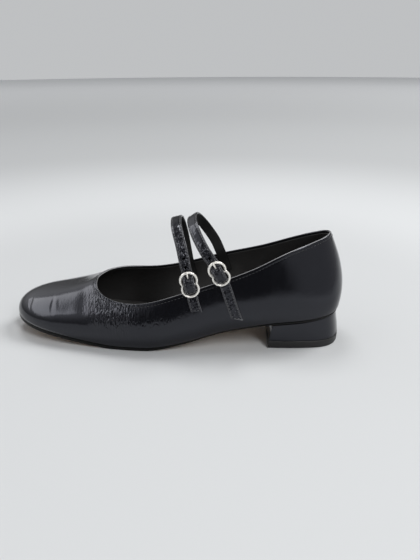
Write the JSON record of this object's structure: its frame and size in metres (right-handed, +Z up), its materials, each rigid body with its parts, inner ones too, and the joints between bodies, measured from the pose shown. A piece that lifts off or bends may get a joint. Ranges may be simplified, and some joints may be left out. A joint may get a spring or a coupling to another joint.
{
  "type": "ballet flat",
  "caption": "Left ballet flat in black crinkled patent leather, with an almond toe, a low block heel and narrow instep straps held by round wire buckles on the outer side.",
  "frame": {"origin": "middle of the whole shoe's bounding box, on the ground plane that the shoe stands on", "axes": "+Z up, the toe points to -Y and the heel to +Y, +X is the outer side of the left foot, where the buckles are"},
  "size_m": [0.0802, 0.2484, 0.0931],
  "materials": {
    "patent_leather": "black patent with a fine crinkle, high gloss",
    "lining": "black lining leather, matt",
    "sole_leather": "tan sole leather with a blackened edge, satin",
    "rubber": "black top lift, satin",
    "pale_metal": "pale gold plated wire, polished"
  },
  "bodies": {
    "root": {"upper": "patent_leather", "outsole": "sole_leather", "insole": "lining", "heel": "patent_leather", "top_lift": "rubber", "strap_front": "patent_leather", "strap_rear": "patent_leather", "tab_front": "patent_leather", "tab_rear": "patent_leather", "buckle_front": "pale_metal", "buckle_rear": "pale_metal", "prong_front": "pale_metal", "prong_rear": "pale_metal"}
  },
  "joints": []
}
